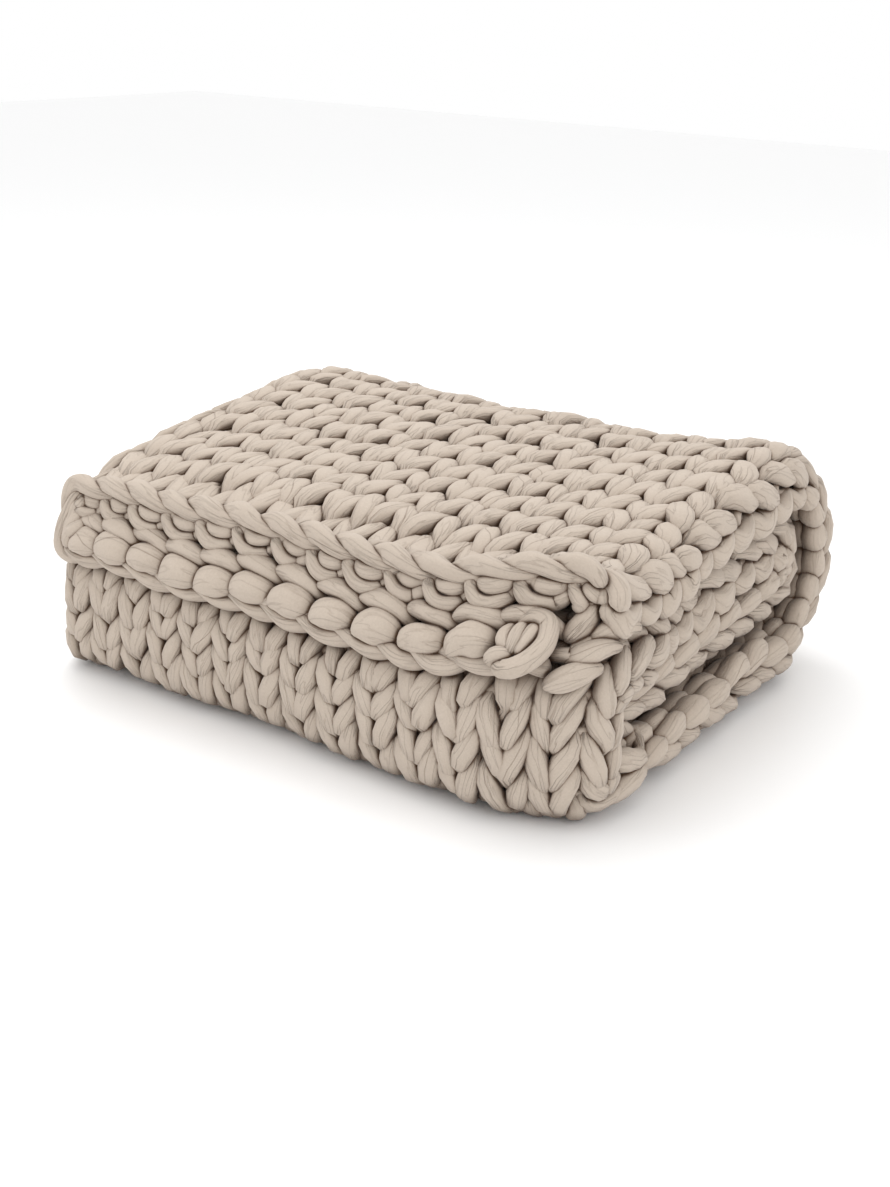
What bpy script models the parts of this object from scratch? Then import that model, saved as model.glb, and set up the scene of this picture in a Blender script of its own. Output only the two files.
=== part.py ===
"""Folded chunky knit weighted blanket, one closed solid, metres, +Z up.

The blanket is one hand-knitted cloth of thick stuffed yarn. It is doubled across
its width, with the fold at the left end (-X) and both side edges at the right end
(+X), and then rolled up lengthwise in quarters. From the top down a cut through it
meets the top level, the upper inner level, the lower inner level and the bottom
level, each of them two layers of cloth: the outer layer with the knit face out, and
the inner layer behind it.

The origin is the middle of the footprint, on the surface the blanket rests on.
"""

import math

import bpy
from mathutils import Vector

# Stack sizes
WIDTH = 0.635
LAYER_THICKNESS = 0.0265
LAYER_GAP = 0.003

# Fold lines across the depth
FRONT_TURN_Y = -0.205
REAR_TURN_Y = 0.132
FRONT_CORNER_RADIUS = 0.034
FRONT_FOOT_RADIUS = 0.020

# The free front edge of the top level: the outer layer reaches forward and curls up,
# the inner layer drops over the front turn
LIP_REACH = 0.045
LIP_RISE = 0.010
LIP_DROP_DEG = 50.0

# The free end rolled up inside
TAIL_SETBACK = 0.012

# The two side edges at the right end
CURL_RADIUS = 0.026
CURL_DEG = 80.0
INNER_EDGE_SETBACK = 0.040

# All edges are rounded over a short way in, in even steps
EDGE_WAY = 0.010
EDGE_SHARES = (0.50, 0.88)

# How the stack settles: shares of the height at each place
REAR_RISE = 0.078
REAR_RIGHT_RISE = 0.065
REAR_RIGHT_X = 0.12
REAR_LEFT_RISE = 0.034
REAR_LEFT_X = -0.10
FRONT_MIDDLE_DIP = 0.03
FRONT_LEFT_SAG = 0.05
FRONT_REACH = 0.55
MIDDLE_X = 0.07
MIDDLE_HALF_WIDTH = 0.26
LEFT_SAG_X = -0.05
LIP_LEFT_SAG = 0.08

# The free front edge droops between its two ends
LIP_DROOP = 0.018
LIP_BACK_Y = -0.165
LIP_EASE = 0.075
DROOP_LEFT_X = -0.25
DROOP_LEFT_LENGTH = 0.13
DROOP_RIGHT_X = 0.25
DROOP_RIGHT_LENGTH = 0.11
DROOP_FOOT_Z = 0.05
DROOP_RISE = 0.10

# How the folds spread and lean
REAR_SPREAD = 0.030
REAR_SPREAD_LEAN = 0.45
REAR_SWELL = 0.012
LIP_RIGHT_SETBACK = 0.030
FRONT_BOW = 0.009
FRONT_BOW_X = 0.18
FRONT_BOW_LENGTH = 0.40
FRONT_CORNER_SETBACK = 0.022
FRONT_CORNER_X = 0.20
FRONT_CORNER_LENGTH = 0.10
LIP_LEFT_TUCK = 0.010
FOOT_LEFT_SPREAD = 0.009
LEFT_END_X = -0.20
LEFT_END_LENGTH = 0.10

# Mesh density
CURL_STEPS = 4
WIDTH_STEPS = 13
HAIRPIN_STEPS = 8
LIP_STEPS = 6
LEVEL_STEPS = 7
REAR_TURN_STEPS = 14
CORNER_STEPS = 5
INNER_TURN_STEPS = 8

HALF_PAIR = LAYER_THICKNESS + LAYER_GAP / 2.0
LEVEL_PITCH = 2.0 * HALF_PAIR + LAYER_GAP
BOTTOM_Z = HALF_PAIR
LOWER_INNER_Z = BOTTOM_Z + LEVEL_PITCH
UPPER_INNER_Z = LOWER_INNER_Z + LEVEL_PITCH
TOP_Z = UPPER_INNER_Z + LEVEL_PITCH
LAYER_OFFSET = (LAYER_THICKNESS + LAYER_GAP) / 2.0


def clear_scene():
    """Leave an empty scene to build in."""
    for item in list(bpy.data.objects):
        bpy.data.objects.remove(item, do_unlink=True)
    for mesh in list(bpy.data.meshes):
        bpy.data.meshes.remove(mesh)
    for material in list(bpy.data.materials):
        bpy.data.materials.remove(material)


def smooth_step(value):
    """Ease from 0 to 1."""
    share = min(1.0, max(0.0, value))
    return share * share * (3.0 - 2.0 * share)


def straight(path, y_to, z_to, steps):
    """Carry the path straight on. A station is y, z, normal y, normal z."""
    y_from, z_from, normal_y, normal_z = path[-1]
    for step in range(1, steps + 1):
        share = step / steps
        y_at = y_from + (y_to - y_from) * share
        z_at = z_from + (z_to - z_from) * share
        path.append((y_at, z_at, normal_y, normal_z))


def turn(path, radius, degrees, steps):
    """Carry the path round a bend that has the outer layer on its outside."""
    y_from, z_from, normal_y, normal_z = path[-1]
    centre_y = y_from - radius * normal_y
    centre_z = z_from - radius * normal_z
    for step in range(1, steps + 1):
        angle = -math.radians(degrees) * step / steps
        turned_y = normal_y * math.cos(angle) - normal_z * math.sin(angle)
        turned_z = normal_y * math.sin(angle) + normal_z * math.cos(angle)
        path.append((centre_y + radius * turned_y, centre_z + radius * turned_z, turned_y, turned_z))


def roll_path():
    """Middle of the doubled cloth, from over the front turn to the end rolled up inside."""
    path = [(FRONT_TURN_Y, TOP_Z, 0.0, 1.0)]
    corner = FRONT_CORNER_RADIUS
    foot = FRONT_FOOT_RADIUS
    straight(path, REAR_TURN_Y, TOP_Z, LEVEL_STEPS)
    turn(path, (TOP_Z - BOTTOM_Z) / 2.0, 180.0, REAR_TURN_STEPS)
    straight(path, FRONT_TURN_Y - corner + foot, BOTTOM_Z, LEVEL_STEPS)
    turn(path, foot, 90.0, CORNER_STEPS)
    straight(path, FRONT_TURN_Y - corner, UPPER_INNER_Z - corner, 1)
    turn(path, corner, 90.0, CORNER_STEPS)
    straight(path, REAR_TURN_Y, UPPER_INNER_Z, LEVEL_STEPS)
    turn(path, (UPPER_INNER_Z - LOWER_INNER_Z) / 2.0, 180.0, INNER_TURN_STEPS)
    tail_y = FRONT_TURN_Y + TAIL_SETBACK
    straight(path, tail_y + EDGE_WAY, LOWER_INNER_Z, LEVEL_STEPS)
    straight(path, tail_y, LOWER_INNER_Z, len(EDGE_SHARES))
    return path


def lip_stations():
    """Where the outer and inner layers run, from the free front edge to the front turn."""
    stations = []
    outer_z = TOP_Z + LAYER_OFFSET
    inner_z = TOP_Z - LAYER_OFFSET
    centre_z = UPPER_INNER_Z - FRONT_CORNER_RADIUS
    inner_radius = inner_z - centre_z
    for step in range(LIP_STEPS):
        out = 1.0 - step / LIP_STEPS
        drop = math.radians(LIP_DROP_DEG) * out
        outer = (FRONT_TURN_Y - LIP_REACH * out, outer_z + LIP_RISE * smooth_step(2.0 * out - 1.0))
        inner = (FRONT_TURN_Y - inner_radius * math.sin(drop), centre_z + inner_radius * math.cos(drop))
        stations.append((outer, inner))
    return stations


def layer_stations():
    """All stations of the roll: outer layer and inner layer."""
    stations = lip_stations()
    for y_at, z_at, normal_y, normal_z in roll_path():
        outer = (y_at + LAYER_OFFSET * normal_y, z_at + LAYER_OFFSET * normal_z)
        inner = (y_at - LAYER_OFFSET * normal_y, z_at - LAYER_OFFSET * normal_z)
        stations.append((outer, inner))
    return stations


def width_line(outer, inner):
    """Middle line of the doubled cloth at one station.

    It runs from the curled right edge of the outer layer to the fold at the left end
    and back to the right edge of the inner layer.
    """
    outer_point = Vector((0.0, outer[0], outer[1]))
    inner_point = Vector((0.0, inner[0], inner[1]))
    inward = (inner_point - outer_point).normalized()
    across = Vector((1.0, 0.0, 0.0))
    fold_x = -WIDTH / 2.0 + HALF_PAIR
    curl_x = WIDTH / 2.0 - LAYER_THICKNESS / 2.0 - CURL_RADIUS
    inner_x = WIDTH / 2.0 - INNER_EDGE_SETBACK
    full_x = inner_x - EDGE_WAY
    line = []
    for step in range(CURL_STEPS):
        angle = math.radians(CURL_DEG) * (1.0 - step / CURL_STEPS)
        side = CURL_RADIUS * math.sin(angle)
        depth = CURL_RADIUS * (1.0 - math.cos(angle))
        line.append(outer_point + across * (curl_x + side) + inward * depth)
    for step in range(WIDTH_STEPS + 1):
        x_at = curl_x + (fold_x - curl_x) * step / WIDTH_STEPS
        line.append(outer_point + across * x_at)
    middle = (outer_point + inner_point) / 2.0
    half_span = (outer_point - inner_point) / 2.0
    for step in range(1, HAIRPIN_STEPS):
        angle = math.pi * step / HAIRPIN_STEPS
        reach = LAYER_OFFSET * math.sin(angle)
        line.append(middle + half_span * math.cos(angle) + across * (fold_x - reach))
    for step in range(WIDTH_STEPS):
        x_at = fold_x + (full_x - fold_x) * step / WIDTH_STEPS
        line.append(inner_point + across * x_at)
    for step in range(len(EDGE_SHARES) + 1):
        x_at = full_x + EDGE_WAY * step / len(EDGE_SHARES)
        line.append(inner_point + across * x_at)
    return line


def settled(point):
    """Let the stack settle unevenly; the underside stays on the floor."""
    depth = (point.y - FRONT_TURN_Y) / (REAR_TURN_Y - FRONT_TURN_Y)
    rear = smooth_step(depth)
    front = 1.0 - smooth_step(depth / FRONT_REACH)
    edge = smooth_step((LIP_BACK_Y - point.y) / LIP_EASE)
    right = smooth_step(point.x / WIDTH + 0.5)
    left = smooth_step((LEFT_SAG_X - point.x) / (LEFT_SAG_X + WIDTH / 2.0))
    left_end = smooth_step((LEFT_END_X - point.x) / LEFT_END_LENGTH)
    middle = smooth_step(1.0 - abs(point.x - MIDDLE_X) / MIDDLE_HALF_WIDTH)
    rear_right = smooth_step((point.x - REAR_RIGHT_X) / (WIDTH / 2.0 - REAR_RIGHT_X))
    rear_left = smooth_step((REAR_LEFT_X - point.x) / (WIDTH / 2.0 + REAR_LEFT_X))
    level = min(1.0, max(0.0, point.z / TOP_Z))
    upper = smooth_step(2.0 * level - 1.0)
    lower = 1.0 - smooth_step(2.0 * level)

    height = 1.0 + rear * (REAR_RISE + REAR_RIGHT_RISE * rear_right + REAR_LEFT_RISE * rear * rear_left)
    height -= FRONT_MIDDLE_DIP * front * middle
    height -= (FRONT_LEFT_SAG * front + LIP_LEFT_SAG * edge) * left
    droop = smooth_step((point.x - DROOP_LEFT_X) / DROOP_LEFT_LENGTH)
    droop *= smooth_step((DROOP_RIGHT_X - point.x) / DROOP_RIGHT_LENGTH)
    droop *= smooth_step((point.z - DROOP_FOOT_Z) / DROOP_RISE)

    spread = REAR_SPREAD * (1.0 - REAR_SPREAD_LEAN * level) + REAR_SWELL * math.sin(math.pi * level)
    bow = math.cos(math.pi * min(0.5, max(-0.5, (point.x - FRONT_BOW_X) / FRONT_BOW_LENGTH)))
    setback = LIP_RIGHT_SETBACK * right * upper - FRONT_BOW * bow
    setback += FRONT_CORNER_SETBACK * smooth_step((point.x - FRONT_CORNER_X) / FRONT_CORNER_LENGTH)
    tuck = LIP_LEFT_TUCK * edge * upper - FOOT_LEFT_SPREAD * lower
    return Vector((
        point.x + left_end * tuck,
        point.y + right * rear * spread + front * setback,
        point.z * height - LIP_DROOP * edge * droop,
    ))


def thickness_share(place, count):
    """Share of the full thickness near either edge of the cloth."""
    steps_in = min(place, count - 1 - place)
    if steps_in < len(EDGE_SHARES):
        return EDGE_SHARES[steps_in]
    return 1.0


def centred(rows):
    """Bring the middle of the footprint to the origin."""
    across = [point.x for row in rows for point in row]
    depth = [point.y for row in rows for point in row]
    middle = Vector(((min(across) + max(across)) / 2.0, (min(depth) + max(depth)) / 2.0, 0.0))
    return [[point - middle for point in row] for row in rows]


def cloth_skin():
    """Rows of points round the cloth, one closed row for each station."""
    lines = [width_line(*station) for station in layer_stations()]
    count = len(lines[0])
    rows = []
    for index, line in enumerate(lines):
        before = lines[max(index - 1, 0)]
        after = lines[min(index + 1, len(lines) - 1)]
        end_share = thickness_share(index, len(lines))
        faces_out = []
        faces_in = []
        for place, point in enumerate(line):
            along = after[place] - before[place]
            sideways = line[max(place - 1, 0)] - line[min(place + 1, count - 1)]
            normal = sideways.cross(along).normalized()
            half = LAYER_THICKNESS / 2.0 * min(end_share, thickness_share(place, count))
            faces_out.append(settled(point + normal * half))
            faces_in.append(settled(point - normal * half))
        rows.append(faces_out + faces_in[::-1])
    return centred(rows)


def mesh_from_rows(name, rows):
    """Join equal closed rows of points into one skin with a flat cap on each end."""
    ring = len(rows[0])
    points = [point for row in rows for point in row]
    faces = []
    for index in range(len(rows) - 1):
        low = index * ring
        high = low + ring
        for step in range(ring):
            after = (step + 1) % ring
            faces.append((low + step, high + step, high + after, low + after))
    last = (len(rows) - 1) * ring
    for step in range(ring // 2 - 1):
        across = ring - 1 - step
        faces.append((step, step + 1, across - 1, across))
        faces.append((last + step, last + across, last + across - 1, last + step + 1))
    mesh = bpy.data.meshes.new(name)
    mesh.from_pydata(points, [], faces)
    mesh.update()
    return mesh


def yarn_material():
    """Matte beige knitted jersey."""
    material = bpy.data.materials.new("yarn")
    material.use_nodes = True
    shader = material.node_tree.nodes["Principled BSDF"]
    shader.inputs["Base Color"].default_value = (0.584, 0.507, 0.429, 1.0)
    shader.inputs["Roughness"].default_value = 0.92
    return material


def main():
    clear_scene()
    mesh = mesh_from_rows("knitted_blanket", cloth_skin())
    for polygon in mesh.polygons:
        polygon.use_smooth = True
    mesh.materials.append(yarn_material())
    blanket = bpy.data.objects.new("knitted_blanket", mesh)
    bpy.context.scene.collection.objects.link(blanket)


main()
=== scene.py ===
"""Chunky knit weighted blanket, folded: the knitted yarn, its materials, light and camera."""

import math

import bpy
import numpy as np
from mathutils import Matrix, Vector


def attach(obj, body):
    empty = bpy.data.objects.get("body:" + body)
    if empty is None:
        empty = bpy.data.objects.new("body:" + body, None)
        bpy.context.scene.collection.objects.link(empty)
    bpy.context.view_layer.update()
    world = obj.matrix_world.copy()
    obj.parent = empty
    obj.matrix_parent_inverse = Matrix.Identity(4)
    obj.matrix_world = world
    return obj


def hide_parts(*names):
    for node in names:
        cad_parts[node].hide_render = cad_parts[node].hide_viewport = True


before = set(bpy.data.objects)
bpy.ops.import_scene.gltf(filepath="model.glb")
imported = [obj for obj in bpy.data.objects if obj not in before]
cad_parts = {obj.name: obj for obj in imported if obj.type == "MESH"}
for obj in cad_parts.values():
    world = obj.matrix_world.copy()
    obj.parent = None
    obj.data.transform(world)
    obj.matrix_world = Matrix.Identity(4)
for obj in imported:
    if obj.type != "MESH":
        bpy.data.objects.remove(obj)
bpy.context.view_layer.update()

# --- Camera -----------------------------------------------------------------
# It looks down on the stack from the front right corner, from a little over a metre
# and a half away, through a normal lens.
CAMERA_AZIMUTH = math.radians(34.33)
CAMERA_ELEVATION = math.radians(21.20)
CAMERA_ROLL = math.radians(1.74)
CAMERA_DISTANCE = 1.613
CAMERA_TARGET = Vector((0.0494, -0.0771, 0.1136))
CAMERA_LENS_MM = 48.5

back = Vector((
    math.sin(CAMERA_AZIMUTH) * math.cos(CAMERA_ELEVATION),
    -math.cos(CAMERA_AZIMUTH) * math.cos(CAMERA_ELEVATION),
    math.sin(CAMERA_ELEVATION),
))
camera_data = bpy.data.cameras.new("camera")
camera_data.lens = CAMERA_LENS_MM
camera_data.sensor_width = 36.0
camera = bpy.data.objects.new("camera", camera_data)
bpy.context.scene.collection.objects.link(camera)
turned = back.to_track_quat("Z", "Y").to_matrix() @ Matrix.Rotation(CAMERA_ROLL, 3, "Z")
camera.matrix_world = Matrix.Translation(CAMERA_TARGET + back * CAMERA_DISTANCE) @ turned.to_4x4()
bpy.context.scene.camera = camera


# --- The folds that the knitting follows ---------------------------------------
# The blanket is doubled across its width and rolled up lengthwise in quarters. These
# sizes are the folded solid's own, and every stitch is placed on them.
WIDTH = 0.635
LAYER_THICKNESS = 0.0265
LAYER_GAP = 0.003
FRONT_TURN_Y = -0.205
REAR_TURN_Y = 0.132
FRONT_CORNER_RADIUS = 0.034
FRONT_FOOT_RADIUS = 0.020
LIP_REACH = 0.045
LIP_RISE = 0.010
LIP_DROP = math.radians(50.0)
TAIL_SETBACK = 0.012
CURL_RADIUS = 0.026
CURL_ANGLE = math.radians(80.0)
INNER_EDGE_SETBACK = 0.040
REAR_RISE = 0.078
REAR_RIGHT_RISE = 0.065
REAR_RIGHT_X = 0.12
REAR_LEFT_RISE = 0.034
REAR_LEFT_X = -0.10
FRONT_MIDDLE_DIP = 0.03
FRONT_LEFT_SAG = 0.05
FRONT_REACH = 0.55
MIDDLE_X = 0.07
MIDDLE_HALF_WIDTH = 0.26
LEFT_SAG_X = -0.05
LIP_LEFT_SAG = 0.08
LIP_DROOP = 0.018
LIP_BACK_Y = -0.165
LIP_EASE = 0.075
DROOP_LEFT = (-0.25, 0.13)
DROOP_RIGHT = (0.25, 0.11)
DROOP_UP = (0.05, 0.10)
REAR_SPREAD = 0.030
REAR_SPREAD_LEAN = 0.45
REAR_SWELL = 0.012
LIP_RIGHT_SETBACK = 0.030
FRONT_BOW = 0.009
FRONT_BOW_X = 0.18
FRONT_BOW_LENGTH = 0.40
FRONT_CORNER_SETBACK = 0.022
FRONT_CORNER_X = 0.20
FRONT_CORNER_LENGTH = 0.10
LIP_LEFT_TUCK = 0.010
FOOT_LEFT_SPREAD = 0.009
LEFT_END_X = -0.20
LEFT_END_LENGTH = 0.10
FOOT_MIDDLE_X = -0.0070
FOOT_MIDDLE_Y = 0.0031

HALF_PAIR = LAYER_THICKNESS + LAYER_GAP / 2.0
LEVEL_PITCH = 2.0 * HALF_PAIR + LAYER_GAP
BOTTOM_Z = HALF_PAIR
LOWER_INNER_Z = BOTTOM_Z + LEVEL_PITCH
UPPER_INNER_Z = LOWER_INNER_Z + LEVEL_PITCH
TOP_Z = UPPER_INNER_Z + LEVEL_PITCH
LAYER_OFFSET = (LAYER_THICKNESS + LAYER_GAP) / 2.0
FOLD_X = -WIDTH / 2.0 + HALF_PAIR
CURL_X = WIDTH / 2.0 - LAYER_THICKNESS / 2.0 - CURL_RADIUS
INNER_X = WIDTH / 2.0 - INNER_EDGE_SETBACK
TRACK_STEP = 0.002
PROBE = 0.001


def smooth_step(value):
    """Ease from 0 to 1."""
    share = np.clip(value, 0.0, 1.0)
    return share * share * (3.0 - 2.0 * share)


def straight(path, y_to, z_to):
    """Carry the roll straight on. A station is y, z, normal y, normal z."""
    y_from, z_from, normal_y, normal_z = path[-1]
    steps = max(1, round(math.hypot(y_to - y_from, z_to - z_from) / TRACK_STEP))
    for step in range(1, steps + 1):
        share = step / steps
        y_at = y_from + (y_to - y_from) * share
        z_at = z_from + (z_to - z_from) * share
        path.append((y_at, z_at, normal_y, normal_z))


def turn(path, radius, angle):
    """Carry the roll round a bend with the outer layer on its outside."""
    y_from, z_from, normal_y, normal_z = path[-1]
    centre_y = y_from - radius * normal_y
    centre_z = z_from - radius * normal_z
    steps = max(2, round(radius * angle / TRACK_STEP))
    for step in range(1, steps + 1):
        at = -angle * step / steps
        turned_y = normal_y * math.cos(at) - normal_z * math.sin(at)
        turned_z = normal_y * math.sin(at) + normal_z * math.cos(at)
        path.append((centre_y + radius * turned_y, centre_z + radius * turned_z, turned_y, turned_z))


def fold_tracks():
    """Outer layer and inner layer, at even stations along the roll."""
    tracks = []
    centre_z = UPPER_INNER_Z - FRONT_CORNER_RADIUS
    inner_radius = TOP_Z - LAYER_OFFSET - centre_z
    lip_steps = round(LIP_REACH / TRACK_STEP)
    for step in range(lip_steps):
        out = 1.0 - step / lip_steps
        drop = LIP_DROP * out
        outer_z = TOP_Z + LAYER_OFFSET + LIP_RISE * float(smooth_step(2.0 * out - 1.0))
        inner_y = FRONT_TURN_Y - inner_radius * math.sin(drop)
        inner_z = centre_z + inner_radius * math.cos(drop)
        tracks.append((FRONT_TURN_Y - LIP_REACH * out, outer_z, inner_y, inner_z))
    corner = FRONT_CORNER_RADIUS
    path = [(FRONT_TURN_Y, TOP_Z, 0.0, 1.0)]
    straight(path, REAR_TURN_Y, TOP_Z)
    turn(path, (TOP_Z - BOTTOM_Z) / 2.0, math.pi)
    straight(path, FRONT_TURN_Y, BOTTOM_Z)
    foot = FRONT_FOOT_RADIUS
    path[-1:] = []
    straight(path, FRONT_TURN_Y - corner + foot, BOTTOM_Z)
    turn(path, foot, math.pi / 2.0)
    straight(path, FRONT_TURN_Y - corner, UPPER_INNER_Z - corner)
    turn(path, corner, math.pi / 2.0)
    straight(path, REAR_TURN_Y, UPPER_INNER_Z)
    turn(path, (UPPER_INNER_Z - LOWER_INNER_Z) / 2.0, math.pi)
    straight(path, FRONT_TURN_Y + TAIL_SETBACK, LOWER_INNER_Z)
    for y_at, z_at, normal_y, normal_z in path:
        away_y = LAYER_OFFSET * normal_y
        away_z = LAYER_OFFSET * normal_z
        tracks.append((y_at + away_y, z_at + away_z, y_at - away_y, z_at - away_z))
    return np.array(tracks)


tracks = fold_tracks()
track_length = np.concatenate(([0.0], np.cumsum(np.hypot(np.diff(tracks[:, 0]), np.diff(tracks[:, 1])))))
ROLL_LENGTH = float(track_length[-1])
CURL_LENGTH = CURL_RADIUS * CURL_ANGLE
OUTER_LENGTH = CURL_X - FOLD_X
HAIRPIN_LENGTH = math.pi * LAYER_OFFSET
CLOTH_WIDTH = CURL_LENGTH + OUTER_LENGTH + HAIRPIN_LENGTH + (INNER_X - FOLD_X)


def track_at(length):
    """Outer and inner layer points at a distance along the roll, run on past both ends."""
    inside = np.clip(length, 0.0, ROLL_LENGTH)
    beyond = (length - inside)[..., None]
    columns = np.stack([np.interp(inside, track_length, tracks[:, c]) for c in range(4)], axis=-1)
    first = (tracks[2] - tracks[0]) / (track_length[2] - track_length[0])
    last = (tracks[-1] - tracks[-3]) / (track_length[-1] - track_length[-3])
    columns += np.where(beyond < 0.0, first, last) * beyond
    return columns


def middle_surface(across, along):
    """Middle of the knitting, from its place across and along the cloth, before it settles."""
    columns = track_at(along)
    outer = columns[..., 0:2]
    inner = columns[..., 2:4]
    inward = inner - outer
    inward = inward / np.linalg.norm(inward, axis=-1, keepdims=True)
    hairpin_start = CURL_LENGTH + OUTER_LENGTH
    hairpin_end = hairpin_start + HAIRPIN_LENGTH
    curl = (1.0 - across / CURL_LENGTH) * CURL_ANGLE
    curl = np.where(across < CURL_LENGTH, curl, 0.0)
    bend = np.pi * np.clip((across - hairpin_start) / HAIRPIN_LENGTH, 0.0, 1.0)
    side = np.cos(bend)[..., None]
    place = (outer + inner) / 2.0 + (outer - inner) / 2.0 * side
    place = place + inward * (CURL_RADIUS * (1.0 - np.cos(curl)))[..., None]
    x_at = CURL_X - (across - CURL_LENGTH)
    x_at = np.where(across < CURL_LENGTH, CURL_X + CURL_RADIUS * np.sin(curl), x_at)
    x_at = np.where(across > hairpin_start, FOLD_X - LAYER_OFFSET * np.sin(bend), x_at)
    x_at = np.where(across > hairpin_end, FOLD_X + (across - hairpin_end), x_at)
    return np.concatenate([x_at[..., None], place], axis=-1)


def settled(points):
    """Let the stack settle unevenly; the underside stays on the floor."""
    x_at = points[..., 0]
    y_at = points[..., 1]
    z_at = points[..., 2]
    depth = (y_at - FRONT_TURN_Y) / (REAR_TURN_Y - FRONT_TURN_Y)
    rear = smooth_step(depth)
    front = 1.0 - smooth_step(depth / FRONT_REACH)
    edge = smooth_step((LIP_BACK_Y - y_at) / LIP_EASE)
    right = smooth_step(x_at / WIDTH + 0.5)
    left = smooth_step((LEFT_SAG_X - x_at) / (LEFT_SAG_X + WIDTH / 2.0))
    middle = smooth_step(1.0 - np.abs(x_at - MIDDLE_X) / MIDDLE_HALF_WIDTH)
    rear_right = smooth_step((x_at - REAR_RIGHT_X) / (WIDTH / 2.0 - REAR_RIGHT_X))
    rear_left = smooth_step((REAR_LEFT_X - x_at) / (WIDTH / 2.0 + REAR_LEFT_X))
    height = 1.0 + rear * (REAR_RISE + REAR_RIGHT_RISE * rear_right + REAR_LEFT_RISE * rear * rear_left)
    height = height - FRONT_MIDDLE_DIP * front * middle
    height = height - (FRONT_LEFT_SAG * front + LIP_LEFT_SAG * edge) * left
    droop = smooth_step((x_at - DROOP_LEFT[0]) / DROOP_LEFT[1])
    droop = droop * smooth_step((DROOP_RIGHT[0] - x_at) / DROOP_RIGHT[1])
    droop = droop * smooth_step((z_at - DROOP_UP[0]) / DROOP_UP[1])
    level = np.clip(z_at / TOP_Z, 0.0, 1.0)
    upper = smooth_step(2.0 * level - 1.0)
    spread = REAR_SPREAD * (1.0 - REAR_SPREAD_LEAN * level) + REAR_SWELL * np.sin(np.pi * level)
    bow = np.cos(np.pi * np.clip((x_at - FRONT_BOW_X) / FRONT_BOW_LENGTH, -0.5, 0.5))
    setback = LIP_RIGHT_SETBACK * right * upper - FRONT_BOW * bow
    setback = setback + FRONT_CORNER_SETBACK * smooth_step((x_at - FRONT_CORNER_X) / FRONT_CORNER_LENGTH)
    left_end = smooth_step((LEFT_END_X - x_at) / LEFT_END_LENGTH)
    foot_spread = FOOT_LEFT_SPREAD * (1.0 - smooth_step(2.0 * level))
    x_moved = x_at + left_end * (LIP_LEFT_TUCK * edge * upper - foot_spread)
    y_moved = y_at + right * rear * spread + front * setback
    z_moved = z_at * height - LIP_DROOP * edge * droop
    return np.stack([x_moved - FOOT_MIDDLE_X, y_moved - FOOT_MIDDLE_Y, z_moved], axis=-1)


def unit(vectors):
    """Vectors brought to length 1."""
    return vectors / np.maximum(np.linalg.norm(vectors, axis=-1, keepdims=True), 1e-12)


def on_cloth(across, along, out):
    """Points at a place across and along the cloth and a height out of its knit face.

    Returns the settled points and the direction out of the knit face at each of them.
    """
    middle = middle_surface(across, along)
    run_across = middle_surface(across + PROBE, along) - middle_surface(across - PROBE, along)
    run_along = middle_surface(across, along + PROBE) - middle_surface(across, along - PROBE)
    normal = unit(np.cross(run_along, run_across))
    points = settled(middle + normal * out[..., None])
    ahead = settled(middle + normal * (out[..., None] + PROBE))
    return points, unit(ahead - points)


# --- Knitted rows ------------------------------------------------------------
# The blanket's body is plain stockinette, hand-knitted from one stuffed jersey tube as
# thick as a thumb, knit face out. Each row is one run of the yarn through all the wales,
# and it turns back round the side edges in a loop that tucks in behind.
WALES = 28
WALE = CLOTH_WIDTH / WALES
ROW = 0.0415
FOLD_WALE = (CURL_LENGTH + OUTER_LENGTH) / WALE
SPLIT_WALE = 17
LOOP_LEAN = 0.255
LOOP_MIDDLE = 0.78
LOOP_HALF_HEIGHT = 1.08
LOOP_DEPTH = 0.0056
LOOP_TILT = 0.0022
LEG_HALF_WIDTH = 0.0132
LEG_HALF_DEPTH = 0.0090
NECK_HALF_WIDTH = 0.0048
NECK_HALF_DEPTH = 0.0048
BACK_RADIUS = 0.0078
EDGE_RADIUS = 0.0125
LEG_FULLNESS = 0.70
LEG_DEPTH_FULLNESS = 0.7
YARN_FLATNESS = 0.80
ROUND_END_LENGTH = 0.9
SMALLEST_END = 0.02
FLOOR_CLEARANCE = 0.0002
FURTHEST_BEFORE_CAST_ON = 0.016

# Hand knitting is uneven: in a stitch's place across and along, in wales and rows; in how far its
# legs lean; in its height, in metres; and in its plumpness. Each line is how much, how quickly it
# changes a wale and a row, and its seed. The quick ones are less round the front.
SLOW_SWAY = (0.11, 0.5, 0.5, 11)
QUICK_SWAY = (0.09, 2.7, 2.1, 12)
SLOW_LIFT = (0.15, 0.5, 0.4, 13)
QUICK_LIFT = (0.17, 2.3, 2.9, 14)
PULL = (0.20, 1.3, 1.7, 15)
RISE = (0.0020, 3.1, 3.7, 17)
PLUMPNESS = (0.15, 2.1, 1.9, 16)
FRONT_TIDINESS = 0.24

# How the stuffed tube is out of round: folds round it, share of its radius, how far the folds
# wander, how many wanders a metre, and the wander's seed.
OUT_OF_ROUND = (
    (2.0, 0.06, 4.0, 40.0, 21),
    (3.0, 0.04, 5.0, 55.0, 22),
)

# Round the front the stitches hang closer together and are pulled longer and slimmer, from the
# first of these rows to the last, and fully so between the middle two.
FRONT_ROWS = (22.0, 24.5, 32.0, 34.0)
FRONT_LENGTH = 1.08
FRONT_SLIMNESS = 0.81

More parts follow.
